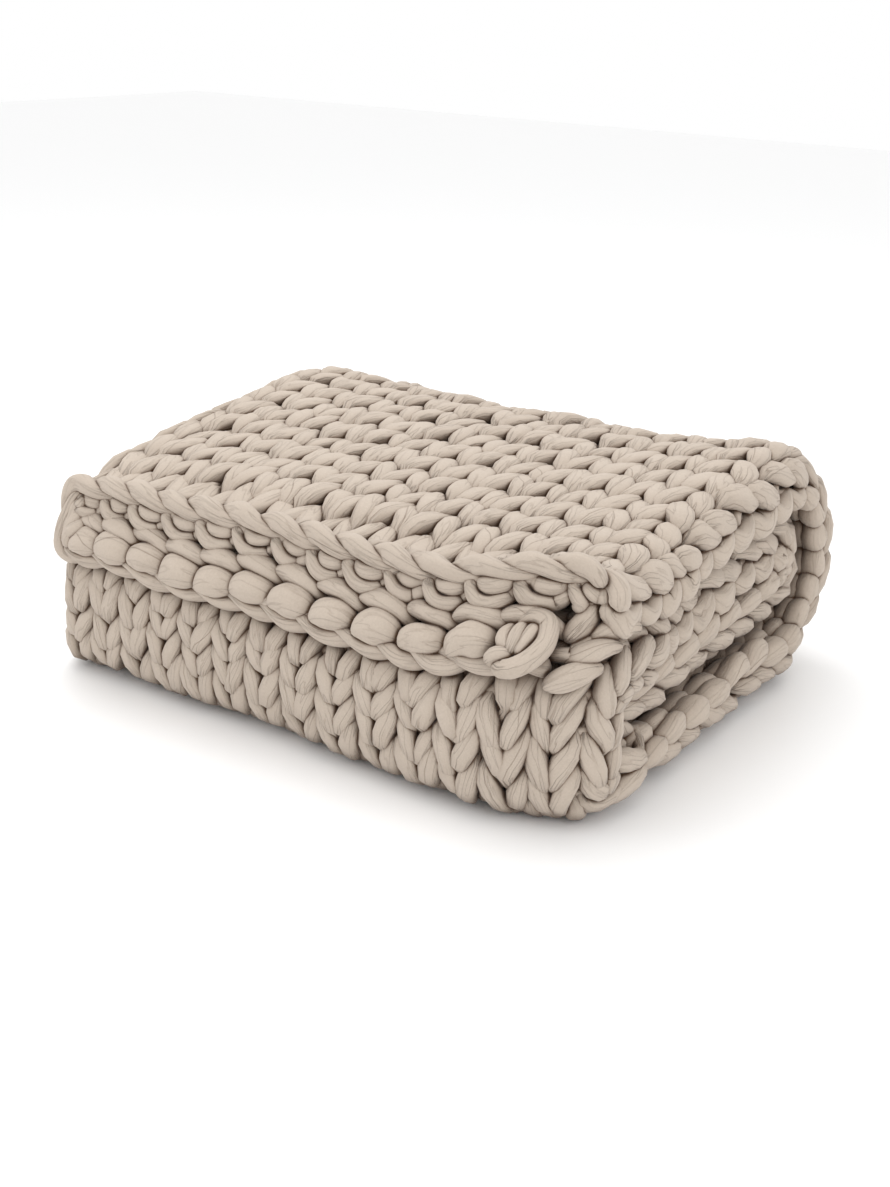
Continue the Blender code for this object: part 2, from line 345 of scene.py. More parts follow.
# Places along the roll, in rows and in metres. The rows sit closer where they hang round the
# front. The inner layer hangs round a longer arc at the lip, so its rows start to slip there.
OUTER_ROWS = (0.0, 25.5, 31.2, 50.8)
OUTER_PLACES = (0.0, 1.058, 1.25, ROLL_LENGTH)
INNER_ROWS = (-1.0, 1.565, 9.2, 25.5, 31.2, 50.8)
INNER_PLACES = (-0.0287, 0.045, 0.382, 1.058, 1.25, ROLL_LENGTH)

# At the right end the turns inside the roll lie further in than the outer ones: the rows from
# which they do, how far in metres, and over how many wales.
INSIDE_ROWS = (32.6, 34.6)
INSIDE_SETBACK = 0.013
INSIDE_REACH = 3.0

# How far the stitches drift to the left round the front, in metres, at each wale.
DRIFT_WALES = (-1.0, 0.5, 1.5, 2.5, 3.5, 6.5, 14.0, 17.0)
DRIFTS = (0.017, 0.017, 0.010, 0.0125, 0.014, 0.020, 0.020, 0.0)

# The loop that the yarn makes round a side edge: wales past the edge, rows from the row's
# middle, metres out of the cloth. Then how uneven these loops are in reach, place and size: how
# much, how quickly it changes a row and a wale, and its seed.
EDGE_LOOP = (
    (-0.02, 0.78, -0.012),
    (0.12, 0.56, -0.005),
    (0.26, 0.22, 0.002),
    (0.30, -0.14, 0.004),
    (0.16, -0.46, -0.003),
)
EDGE_REACH = (0.35, 1.3, 1.0, 18)
EDGE_SHIFT = (0.12, 1.7, 1.0, 19)
EDGE_PLUMPNESS = (0.14, 2.1, 1.0, 20)
EDGE_SAMPLE_SHARE = 5

# Where each run starts in the yarn's pattern, so that no two look alike: metres a row.
ROW_PATTERN_STEP = 7.31

# Unevenness is a few waves of different lengths added up, and brought back to about 1.
WANDER_WAVES = 5
WANDER_TURNS = (0.35, 1.5)
WANDER_HEIGHT = 3.2


def wander(seed, *places):
    """A smooth, repeatable unevenness between about -1 and 1."""
    generator = np.random.default_rng(seed)
    total = 0.0
    for _ in range(WANDER_WAVES):
        turns = generator.uniform(*WANDER_TURNS, len(places))
        turns = turns * generator.choice((-1.0, 1.0), len(places))
        phase = generator.uniform(0.0, 2.0 * math.pi)
        total = total + np.sin(sum(t * p for t, p in zip(turns, places)) + phase)
    return total / WANDER_HEIGHT


def uneven(kind, first_place, second_place, share=1.0):
    """How far off the yarn is in one way, such as its sway, at a place counted two ways."""
    amount, first_turns, second_turns, seed = kind
    return amount * share * wander(seed, first_place * first_turns, second_place * second_turns)


def along_cloth(across, row_place):
    """Metres along the roll of a place counted in wales and rows."""
    outer = np.interp(row_place, OUTER_ROWS, OUTER_PLACES) + np.minimum(row_place, 0.0) * ROW
    inner = np.interp(row_place, INNER_ROWS, INNER_PLACES)
    share = smooth_step((across - FOLD_WALE) / (2.0 * HAIRPIN_LENGTH / WALE))
    return outer + (inner - outer) * share


def front_share(row_place):
    """1 on the rows that hang round the front, 0 away from them."""
    return np.interp(row_place, FRONT_ROWS, (0.0, 1.0, 1.0, 0.0))


def across_cloth(across, row_place):
    """Metres across the cloth of a place counted in wales and rows."""
    return across * WALE + front_share(row_place) * np.interp(across, DRIFT_WALES, DRIFTS)


def through(controls, samples):
    """A smooth line through control rows, with so many samples between each two."""
    lead_in = 2 * controls[:1] - controls[1:2]
    lead_out = 2 * controls[-1:] - controls[-2:-1]
    ends = np.concatenate([lead_in, controls, lead_out])
    share = np.linspace(0.0, 1.0, samples, endpoint=False)[:, None]
    spans = []
    for at in range(len(controls) - 1):
        before, here, after, beyond = ends[at:at + 4]
        bend = 2 * before - 5 * here + 4 * after - beyond
        twist = 3 * (here - after) + beyond - before
        spans.append(here + 0.5 * share * (after - before + share * (bend + share * twist)))
    spans.append(controls[-1:])
    return np.concatenate(spans)


def row_line(row, phase):
    """One row's yarn: wales across, rows along and metres out of the cloth."""
    angle = 2.0 * np.pi * phase
    front = front_share(row)
    loose = 1.0 - FRONT_TIDINESS * front
    sway = uneven(SLOW_SWAY, phase, row) + uneven(QUICK_SWAY, phase, row, loose)
    lift = uneven(SLOW_LIFT, phase, row) + uneven(QUICK_LIFT, phase, row, loose)
    pull = 1.0 + uneven(PULL, phase, row)
    rise = uneven(RISE, phase, row)
    height = LOOP_HALF_HEIGHT * (1.0 + (FRONT_LENGTH - 1.0) * front)
    across = phase + LOOP_LEAN * pull * np.sin(2.0 * angle) + sway
    along = row + LOOP_MIDDLE - height * np.cos(angle) + lift
    tilt = (np.cos(angle) - np.cos(3.0 * angle)) / math.sqrt(2.0)
    out = -LOOP_DEPTH * np.sin(0.5 * np.pi * np.cos(2.0 * angle)) + LOOP_TILT * tilt + rise
    return np.stack([across, along, out], axis=-1)


def row_swell(row, phase):
    """Half width and half depth: plump on the legs, pointed where they tuck in, round behind."""
    leg = -np.cos(4.0 * np.pi * phase)
    full = np.clip(leg, 0.0, 1.0) ** LEG_FULLNESS
    back = np.clip(-leg, 0.0, 1.0) ** LEG_FULLNESS
    plump = 1.0 + uneven(PLUMPNESS, phase, row)
    leg_width = LEG_HALF_WIDTH * (1.0 + (FRONT_SLIMNESS - 1.0) * front_share(row))
    width = NECK_HALF_WIDTH + (leg_width - NECK_HALF_WIDTH) * full
    width = width + (BACK_RADIUS - NECK_HALF_WIDTH) * back
    depth = NECK_HALF_DEPTH + (LEG_HALF_DEPTH - NECK_HALF_DEPTH) * full ** LEG_DEPTH_FULLNESS
    depth = depth + (BACK_RADIUS - NECK_HALF_DEPTH) * back
    pinch = (1.0 - full) * smooth_step(2.0 + 2.0 * leg)
    return width * plump, depth * plump, pinch


def tube(places, width, depth, pinch, sides, pattern_start, rounded=(True, True)):
    """A run of yarn as rings of points, from its places on the cloth; flat side to the cloth."""
    along = np.maximum(along_cloth(places[:, 0], places[:, 1]), -FURTHEST_BEFORE_CAST_ON)
    points, upward = on_cloth(across_cloth(places[:, 0], places[:, 1]), along, places[:, 2])
    inside = np.interp(places[:, 1], INSIDE_ROWS, (0.0, 1.0))
    points[:, 0] -= INSIDE_SETBACK * inside * smooth_step(1.0 - places[:, 0] / INSIDE_REACH)
    points[:, 2] = np.maximum(points[:, 2], depth)
    run = unit(np.gradient(points, axis=0))
    sideways = unit(np.cross(upward, run))
    upright = np.cross(run, sideways)
    length = np.concatenate(([0.0], np.cumsum(np.linalg.norm(np.diff(points, axis=0), axis=1))))
    angle = np.linspace(0.0, 2.0 * np.pi, sides, endpoint=False)[None, :]
    full = 1.0
    for folds, share, swing, wanders, seed in OUT_OF_ROUND:
        turned = swing * wander(seed, length * wanders + pattern_start)[:, None]
        full = full + share * np.sin(folds * angle + turned)
    for to_round, from_end in zip(rounded, (length, length[-1] - length)):
        if to_round:
            share = np.minimum(from_end / (ROUND_END_LENGTH * depth), 1.0)
            full = full * np.sqrt(np.clip(1.0 - (1.0 - share) ** 2, SMALLEST_END, 1.0))[:, None]
    flat_side = np.sign(np.cos(angle)) * np.abs(np.cos(angle)) ** YARN_FLATNESS
    flat_up = np.sign(np.sin(angle)) * np.abs(np.sin(angle)) ** YARN_FLATNESS
    reach_side = (flat_side * full * width[:, None])[..., None] * sideways[:, None, :]
    reach_up = (flat_up * full * depth[:, None])[..., None] * upright[:, None, :]
    rings = points[:, None, :] + reach_side + reach_up
    rings[..., 2] = np.maximum(rings[..., 2], FLOOR_CLEARANCE)
    return rings, length + pattern_start, pinch


def yarn_mesh(name, runs):
    """Join runs of yarn into one piece, and say where each point lies along and round the yarn."""
    points = []
    faces = []
    along_yarn = []
    pinched = []
    start = 0
    for rings, length, pinch in runs:
        count, sides, _ = rings.shape
        points.append(rings.reshape(-1, 3))
        points.append(np.stack([rings[0].mean(axis=0), rings[-1].mean(axis=0)]))
        step = np.arange(count - 1)[:, None]
        here = np.arange(sides)[None, :]
        after = (here + 1) % sides
        low = start + step * sides
        quads = np.stack([low + here, low + after, low + sides + after, low + sides + here], axis=-1)
        faces.extend(quads.reshape(-1, 4).tolist())
        both = np.broadcast_arrays(length[step], length[step + 1], here / sides, (here + 1) / sides)
        near, far, turn_low, turn_high = (part.ravel() for part in both)
        corners = np.stack([near, turn_low, near, turn_high, far, turn_high, far, turn_low], axis=-1)
        along_yarn.append(corners.reshape(-1, 2))
        both = np.broadcast_arrays(pinch[step] + 0.0 * here, pinch[step + 1])
        near, far = (part.ravel() for part in both)
        zero = np.zeros(len(near))
        corners = np.stack([near, zero, near, zero, far, zero, far, zero], axis=-1)
        pinched.append(corners.reshape(-1, 2))
        last = start + (count - 1) * sides
        end = start + count * sides
        side = np.arange(sides)
        side_after = (side + 1) % sides
        first_cap = np.stack([start + side_after, start + side, np.full(sides, end)], axis=-1)
        last_cap = np.stack([last + side, last + side_after, np.full(sides, end + 1)], axis=-1)
        faces.extend(np.concatenate([first_cap, last_cap]).tolist())
        along_yarn.append(np.tile([length[0], 0.0], (6 * sides, 1)))
        pinched.append(np.zeros((6 * sides, 2)))
        start = end + 2
    mesh = bpy.data.meshes.new(name)
    mesh.from_pydata(np.concatenate(points).tolist(), [], faces)
    for map_name, rows in (("along_yarn", along_yarn), ("pinched", pinched)):
        layer = mesh.uv_layers.new(name=map_name)
        layer.data.foreach_set("uv", np.concatenate(rows).astype(np.float32).ravel())
    mesh.polygons.foreach_set("use_smooth", np.ones(len(mesh.polygons), dtype=bool))
    mesh.materials.append(yarn)
    mesh.update()
    piece = bpy.data.objects.new(name, mesh)
    bpy.context.scene.collection.objects.link(piece)
    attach(piece, "root")
    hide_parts("knitted_blanket")


def row_run(row, first, last, samples, sides):
    """One row's yarn from one place across the cloth to another, with its loop at an edge."""
    phase = np.linspace(first, last, int(round((last - first) * samples)) + 1)
    places = row_line(row, phase)
    width, depth, pinch = row_swell(row, phase)
    loop = np.array(EDGE_LOOP)
    loop[:, 0] *= 1.0 + uneven(EDGE_REACH, row, first)
    loop[:, 1] += uneven(EDGE_SHIFT, row, first)
    plump = EDGE_RADIUS * (1.0 + uneven(EDGE_PLUMPNESS, row, first))
    at_edge = (first <= 0, last == WALES)
    before = 0
    if at_edge[0]:
        edge = np.stack([first - loop[:, 0], row + 0.5 + loop[:, 1], loop[:, 2]], axis=-1)
        lead = through(np.concatenate([edge, places[:1]]), samples // EDGE_SAMPLE_SHARE)[:-1]
        places = np.concatenate([lead, places])
        before = len(lead)
    if at_edge[1]:
        edge = np.stack([WALES + loop[::-1, 0], row + 0.5 + loop[::-1, 1], loop[::-1, 2]], axis=-1)
        tail = through(np.concatenate([places[-1:], edge]), samples // EDGE_SAMPLE_SHARE)[1:]
        places = np.concatenate([places, tail])
    if row == 0:
        places[:, 1] = np.maximum(places[:, 1], 0.0)
    spare = (before, len(places) - len(width) - before)
    width = np.pad(width, spare, mode="edge")
    depth = np.pad(depth, spare, mode="edge")
    pinch = np.pad(pinch, spare, mode="edge")
    for ends in (slice(0, spare[0]), slice(len(places) - spare[1], len(places))):
        swell = np.sin(np.linspace(0.0, np.pi, ends.stop - ends.start))
        width[ends] = NECK_HALF_WIDTH + (plump - NECK_HALF_WIDTH) * swell
        depth[ends] = NECK_HALF_DEPTH + (plump - NECK_HALF_DEPTH) * swell
    return tube(places, width, depth, pinch, sides, row * ROW_PATTERN_STEP, at_edge)


# The jersey: taupe, with brown painted in as shade where it is shut in between lengths of yarn,
# pinched or creased; the seam darkens toward the same brown. A pattern is how fine it is along the
# yarn, a metre, and round it. Depths are in metres. A shade is how much of the light colour is
# lost, and a light is how much is kept. Any other two numbers are how much is added where the
# pattern or the pinch is fullest, and what it is added to.
LIGHT_TAUPE = (0.49, 0.415, 0.345, 1.0)
SEAM_AND_PAINTED_SHADE_BROWN = (0.095, 0.048, 0.022, 1.0)
GATHER_PATTERN = (14.0, 2.2)
GATHER_DEPTH = (0.0042, 0.0004)
CREASE_PATTERN = (15.0, 1.5)
CREASE_LEVEL = 0.47
CREASE_WIDTH = 0.022
CREASE_SHARE = (0.9, 0.35)
CREASE_DEPTH = 0.0009
CREASE_PAINTED_SHADE = 0.42
SEAM_PATTERN = (3.5, 0.0)
SEAM_WANDER = 3.0
SEAM_HALF_WIDTH = 0.006
SEAM_DEPTH = 0.0005
SEAM_SHADE = 0.32
GRAIN_PATTERN = (620.0, 7.5)
GRAIN_DEPTH = 0.00030
GRAIN_LIGHT = (0.30, 0.85)
GRAIN_ROUGHNESS = (0.12, 0.84)
PATCH_PATTERN = (9.0, 0.5)
PATCH_LIGHT = (0.12, 0.94)
PINCH_PAINTED_SHADE = 0.22

# Painted shade between two lengths of yarn, and in a wider recess, from how open each place is to
# light: how open a place is when it is darkest and when it is clear, how much of its colour is left
# at the darkest, and, in metres, how near the yarn is that shuts it in.
PAINTED_SHADE_OPENINGS = (
    ("Open", 0.42, 0.90, 0.0, 0.0045),
    ("Wide Open", 0.12, 0.80, 0.25, 0.032),
)
OPENING_SAMPLES = 6


def jersey_tube():
    """Stuffed jersey: its colour, with shade painted in at pinches, creases and between lengths of yarn,
    and the height of its creases, seam and fine knit.
    """
    tree = bpy.data.node_groups.new("jersey_tube", "ShaderNodeTree")
    for socket in ("Along", "Round", "Pinch", "Open", "Wide Open"):
        tree.interface.new_socket(socket, in_out="INPUT", socket_type="NodeSocketFloat")
    tree.interface.new_socket("Color", in_out="OUTPUT", socket_type="NodeSocketColor")
    tree.interface.new_socket("Height", in_out="OUTPUT", socket_type="NodeSocketFloat")
    tree.interface.new_socket("Roughness", in_out="OUTPUT", socket_type="NodeSocketFloat")
    given = tree.nodes.new("NodeGroupInput")
    taken = tree.nodes.new("NodeGroupOutput")

    def math_node(kind, first, second=None, third=None):
        node = tree.nodes.new("ShaderNodeMath")
        node.operation = kind
        for socket, value in zip(node.inputs, (first, second, third)):
            if isinstance(value, bpy.types.NodeSocket):
                tree.links.new(value, socket)
            elif value is not None:
                socket.default_value = value
        return node.outputs[0]

    def place_on_yarn(along_scale, round_scale):
        turn_angle = math_node("MULTIPLY", given.outputs["Round"], 2.0 * math.pi)
        node = tree.nodes.new("ShaderNodeCombineXYZ")
        sideways = math_node("MULTIPLY", math_node("COSINE", turn_angle), round_scale)
        upward = math_node("MULTIPLY", math_node("SINE", turn_angle), round_scale)
        tree.links.new(math_node("MULTIPLY", given.outputs["Along"], along_scale), node.inputs["X"])
        tree.links.new(sideways, node.inputs["Y"])
        tree.links.new(upward, node.inputs["Z"])
        return node.outputs["Vector"]

    def noise(place, detail, roughness=0.5):
        node = tree.nodes.new("ShaderNodeTexNoise")
        node.inputs["Scale"].default_value = 1.0
        node.inputs["Detail"].default_value = detail
        node.inputs["Roughness"].default_value = roughness
        tree.links.new(place, node.inputs["Vector"])
        return node.outputs["Fac"]

    pinch = given.outputs["Pinch"]
    # Shallow gathers fan out from each tucked-in end; a few soft creases run along the legs.
    gathers = noise(place_on_yarn(*GATHER_PATTERN), 1.0)
    gather_depth = math_node("MULTIPLY", gathers, math_node("MULTIPLY_ADD", pinch, *GATHER_DEPTH))
    creases = noise(place_on_yarn(*CREASE_PATTERN), 2.0)
    crease_away = math_node("ABSOLUTE", math_node("SUBTRACT", creases, CREASE_LEVEL))
    crease_line = math_node("MINIMUM", math_node("MULTIPLY", crease_away, 1.0 / CREASE_WIDTH), 1.0)
    crease_share = math_node("MULTIPLY_ADD", pinch, *CREASE_SHARE)
    crease_depth = math_node("MULTIPLY", crease_line, math_node("MULTIPLY", crease_share, CREASE_DEPTH))
    # The tube's seam wanders round the yarn, so that it shows on some legs only.
    seam_turn = math_node("MULTIPLY", noise(place_on_yarn(*SEAM_PATTERN), 1.0), SEAM_WANDER)
    seam_away = math_node("PINGPONG", math_node("ADD", given.outputs["Round"], seam_turn), 0.5)
    seam = math_node("LESS_THAN", seam_away, SEAM_HALF_WIDTH)
    # Fine jersey knit and its fibres.
    fine = noise(place_on_yarn(*GRAIN_PATTERN), 2.0, 0.7)
    height = math_node("ADD", gather_depth, crease_depth)
    height = math_node("ADD", height, math_node("MULTIPLY", fine, GRAIN_DEPTH))
    height = math_node("SUBTRACT", height, math_node("MULTIPLY", seam, SEAM_DEPTH))
    tree.links.new(height, taken.inputs["Height"])

    shade = math_node("MULTIPLY_ADD", noise(place_on_yarn(*PATCH_PATTERN), 2.0), *PATCH_LIGHT)
    shade = math_node("MULTIPLY", shade, math_node("MULTIPLY_ADD", fine, *GRAIN_LIGHT))
    # Painted shade where each leg pinches in to tuck under the next stitch.
    shade = math_node("SUBTRACT", shade, math_node("MULTIPLY", pinch, PINCH_PAINTED_SHADE))
    shade = math_node("SUBTRACT", shade, math_node("MULTIPLY", seam, SEAM_SHADE))
    # Painted shade along the creases.
    creased = math_node("MULTIPLY", math_node("SUBTRACT", 1.0, crease_line), crease_share)
    shade = math_node("SUBTRACT", shade, math_node("MULTIPLY", creased, CREASE_PAINTED_SHADE))
    # Painted shade: where lengths of yarn press together or lie in a recess, the colour is darkened as
    # shade.
    for opening, low, high, dark, _ in PAINTED_SHADE_OPENINGS:
        clear = tree.nodes.new("ShaderNodeMapRange")
        clear.interpolation_type = "SMOOTHSTEP"
        clear.inputs["From Min"].default_value = low
        clear.inputs["From Max"].default_value = high
        clear.inputs["To Min"].default_value = dark
        clear.inputs["To Max"].default_value = 1.0
        tree.links.new(given.outputs[opening], clear.inputs["Value"])
        shade = math_node("MULTIPLY", shade, clear.outputs["Result"])
    color = tree.nodes.new("ShaderNodeMix")
    color.data_type = "RGBA"
    color.inputs["A"].default_value = SEAM_AND_PAINTED_SHADE_BROWN
    color.inputs["B"].default_value = LIGHT_TAUPE
    color.clamp_factor = False
    tree.links.new(shade, color.inputs["Factor"])
    tree.links.new(color.outputs["Result"], taken.inputs["Color"])
    tree.links.new(math_node("MULTIPLY_ADD", fine, *GRAIN_ROUGHNESS), taken.inputs["Roughness"])
    return tree


yarn = bpy.data.materials.new("yarn_jersey")
yarn.use_nodes = True
tree = yarn.node_tree
shader = tree.nodes["Principled BSDF"]
jersey = tree.nodes.new("ShaderNodeGroup")
jersey.node_tree = jersey_tube()
for map_name, sockets in (("along_yarn", ("Along", "Round")), ("pinched", ("Pinch",))):
    uv = tree.nodes.new("ShaderNodeUVMap")
    uv.uv_map = map_name
    apart = tree.nodes.new("ShaderNodeSeparateXYZ")
    tree.links.new(uv.outputs["UV"], apart.inputs[0])
    for place, socket in enumerate(sockets):
        tree.links.new(apart.outputs[place], jersey.inputs[socket])
# Ambient occlusion tells how shut in each place is, for the painted shade.
for socket, _, _, _, reach in PAINTED_SHADE_OPENINGS:
    gap = tree.nodes.new("ShaderNodeAmbientOcclusion")
    gap.samples = OPENING_SAMPLES
    gap.inputs["Distance"].default_value = reach
    tree.links.new(gap.outputs["AO"], jersey.inputs[socket])
bump = tree.nodes.new("ShaderNodeBump")
bump.inputs["Strength"].default_value = 1.0
bump.inputs["Distance"].default_value = 1.0
tree.links.new(jersey.outputs["Height"], bump.inputs["Height"])
tree.links.new(bump.outputs["Normal"], shader.inputs["Normal"])
tree.links.new(jersey.outputs["Color"], shader.inputs["Base Color"])
tree.links.new(jersey.outputs["Roughness"], shader.inputs["Roughness"])
shader.inputs["Sheen Weight"].default_value = 0.12
shader.inputs["Sheen Roughness"].default_value = 0.6
shader.inputs["Specular IOR Level"].default_value = 0.15

# The piece, its rows from and to, first wale, samples a stitch and sides round the yarn. Hidden
# rows are coarser, and so is the inner half of each row, past the split wale. The front rows
# have a wale more, which curls in at the right side.
INNER_HALF_SAMPLES = 12
INNER_HALF_SIDES = 10
LEVEL_ROWS = (
    ("top_rows", 0, 9, 0, 24, 18),
    ("rear_rows", 9, 17, 0, 22, 14),
    ("bottom_rows", 17, 24, 0, 16, 12),
    ("front_rows", 24, 33, -1, 24, 18),
    ("inner_rows", 33, 50, 0, 14, 10),
)
for name, first_row, last_row, first_wale, samples, sides in LEVEL_ROWS:
    runs = []
    for row in range(first_row, last_row):
        runs.append(row_run(row, first_wale, SPLIT_WALE, samples, sides))
        runs.append(row_run(row, SPLIT_WALE, WALES, INNER_HALF_SAMPLES, INNER_HALF_SIDES))
    yarn_mesh(name, runs)


# --- Cast-on edge ----------------------------------------------------------------
# The first row hangs from a cast-on chain. On the knit face it is a rope of two strands;
# behind the rope each wale has a plump loop and, behind that, a longer hanging strand.
# On the upper layer they hang down under the rope; on the lower one they lie above it.
ROPE_STRAND_RADIUS = 0.0080
ROPE_TWIST_RADIUS = 0.0055
ROPE_TWIST_WANDER = 0.35
ROPE_SWELL = 0.22
ROPE_PLUMPNESS = 0.06
ROPE_PINCH = 0.12
ROPE_SAMPLES = 22
ROPE_SIDES = 18
PUFF_SAMPLES = 6
STRAND_SAMPLES = 5
LIP_SIDES = 16
LIP_FLATNESS = 0.92

# Where the rope lies on the upper lip and on the lower one, in rows and in metres out. Then, in
# wales, where each strand starts and how far short of the last wale they stop.
ROPE_ROW = (-0.08, -0.09)
ROPE_OUT = (0.003, 0.0)
ROPE_STARTS = (-0.10, 0.35)
ROPE_END_SETBACK = 0.2

# Where the first run starts in the yarn's pattern, and how much further on each other one does.
ROPE_PATTERN = (400.0, 9.0)
LIP_PATTERN = (500.0, 3.3)

# How uneven the loops and strands are: in radius, along in rows, and out of the cloth in metres.
# Each is how much, how quickly it changes a wale and from one lip to the other, and its seed.
LIP_PLUMPNESS = (0.10, 2.3, 1.0, 31)
LIP_SHIFT = (0.05, 1.9, 2.0, 32)
LIP_RISE_AND_FALL = (0.0015, 2.1, 3.0, 33)

# Across from the wale, row, metres out and radius, on the upper layer's lip.
UPPER_PUFF = (
    (-0.44, 0.10, -0.002, 0.0050),
    (-0.22, 0.00, -0.009, 0.0090),
    (0.02, -0.04, -0.011, 0.0100),
    (0.24, 0.00, -0.009, 0.0090),
    (0.44, 0.10, -0.002, 0.0050),
)
UPPER_STRAND = (
    (-0.50, 0.35, -0.004, 0.0050),
    (-0.42, 0.16, -0.015, 0.0065),
    (-0.20, 0.02, -0.024, 0.0080),
    (0.06, -0.06, -0.027, 0.0085),
    (0.32, -0.12, -0.023, 0.0082),
    (0.48, -0.13, -0.013, 0.0072),
    (0.50, -0.06, -0.004, 0.0060),
)
# The same on the lower layer's lip.
LOWER_PUFF = (
    (-0.56, -0.02, -0.004, 0.0065),
    (-0.30, 0.06, -0.011, 0.0134),
    (0.00, 0.10, -0.013, 0.0160),
    (0.30, 0.10, -0.011, 0.0138),
    (0.56, 0.08, -0.004, 0.0065),
)
LOWER_STRAND = (
    (-0.72, 0.58, -0.012, 0.0045),
    (-0.46, 0.58, -0.021, 0.0085),
    (-0.15, 0.55, -0.023, 0.0104),
    (0.16, 0.50, -0.022, 0.0104),
    (0.46, 0.45, -0.017, 0.0084),
    (0.62, 0.42, -0.010, 0.0060),
    (0.74, 0.40, -0.005, 0.0045),
)
# Toward the right end the lower lip's loops are spread wider: how far the last ones move, in
# wales, and from which wale to which this comes in.
LOWER_STRETCH = 0.66
STRETCH_WALES = (21.0, 25.5)


def lip_share(across):
    """0 on the upper layer's lip, 1 on the lower one's, eased round the fold."""
    return smooth_step((across - FOLD_WALE) / (HAIRPIN_LENGTH / WALE))


def lip_run(upper, lower, wale, samples):
    """One loop or strand behind the rope at a wale."""
    share = float(lip_share(np.array(wale)))
    shape = np.array(upper) * (1.0 - share) + np.array(lower) * share
    shape[:, 3] *= 1.0 + uneven(LIP_PLUMPNESS, wale, share)
    shape[:, 1] += uneven(LIP_SHIFT, wale, share)
    shape[:, 2] += uneven(LIP_RISE_AND_FALL, wale, share)
    line = through(shape, samples)
    line[:, 0] += wale + LOWER_STRETCH * share * float(np.interp(wale, STRETCH_WALES, (0.0, 1.0)))
    pinch = np.linspace(-1.0, 1.0, len(line)) ** 4
    width = line[:, 3]
    pattern_start = LIP_PATTERN[0] + wale * LIP_PATTERN[1]
    return tube(line[:, :3], width, width * LIP_FLATNESS, pinch, LIP_SIDES, pattern_start)


rope = []
for strand, rope_start in enumerate(ROPE_STARTS):
    across = np.linspace(rope_start, WALES - ROPE_END_SETBACK, WALES * ROPE_SAMPLES)
    twist = np.pi * (across + strand) + ROPE_TWIST_WANDER * wander(34, across * 1.3)
    row_place = np.interp(lip_share(across), (0.0, 1.0), ROPE_ROW) + ROPE_TWIST_RADIUS * np.sin(twist) / ROW
    out = np.interp(lip_share(across), (0.0, 1.0), ROPE_OUT) + ROPE_TWIST_RADIUS * np.cos(twist)
    places = np.stack([across, row_place, out], axis=-1)
    swell = 1.0 + ROPE_SWELL * np.cos(twist) + ROPE_PLUMPNESS * wander(35, across * 1.7 + strand)
    radius = ROPE_STRAND_RADIUS * swell
    pinch = ROPE_PINCH * (1.0 - np.cos(twist))
    rope.append(tube(places, radius, radius, pinch, ROPE_SIDES, ROPE_PATTERN[0] + strand * ROPE_PATTERN[1]))
yarn_mesh("cast_on_rope", rope)

loops = [lip_run(UPPER_PUFF, LOWER_PUFF, wale + 0.5, PUFF_SAMPLES) for wale in range(WALES - 2)]
yarn_mesh("lip_loops", loops)
strands = [lip_run(UPPER_STRAND, LOWER_STRAND, wale + 0.5, STRAND_SAMPLES) for wale in range(WALES - 1)]
yarn_mesh("lip_strands", strands)


# --- Corner knot -------------------------------------------------------------------
# At the lower layer's right corner the yarn's tail is wound round itself and tucked in:
# one long turn lies round a few short ones, and a thick strand stands up beside them.
KNOT_WALE = 27.30
KNOT_ROW = 0.05
KNOT_SAMPLES = 12
CORNER_SAMPLES = 10

# Where the first strand starts in the yarn's pattern, and how much further on each other one does.
KNOT_PATTERN = (700.0, 5.0)
CORNER_PATTERN = (760.0, 5.0)

# To the right of the knot's middle, up from it, out of the cloth, and the yarn's radius, in metres.
KNOT_STRANDS = (
    ((-0.015, -0.014, -0.016, 0.0050), (-0.002, -0.018, -0.020, 0.0080), (0.012, -0.013, -0.023, 0.0090),
     (0.019, -0.003, -0.025, 0.0090), (0.014, 0.007, -0.026, 0.0084), (0.001, 0.010, -0.027, 0.0078),
     (-0.012, 0.008, -0.020, 0.0052)),
    ((-0.014, 0.008, -0.016, 0.0050), (-0.016, 0.000, -0.022, 0.0074), (-0.009, -0.009, -0.019, 0.0052)),
    ((-0.005, 0.008, -0.020, 0.0050), (-0.005, 0.000, -0.026, 0.0070), (-0.006, -0.010, -0.021, 0.0050)),
    ((0.005, 0.008, -0.020, 0.0050), (0.005, 0.000, -0.027, 0.0070), (0.000, -0.010, -0.023, 0.0050)),
    ((-0.025, -0.011, -0.012, 0.0050), (-0.015, -0.010, -0.021, 0.0074), (-0.003, -0.009, -0.021, 0.0052)),
    ((-0.012, -0.002, -0.008, 0.0080), (0.001, -0.002, -0.012, 0.0125), (0.014, -0.002, -0.008, 0.0080)),
)
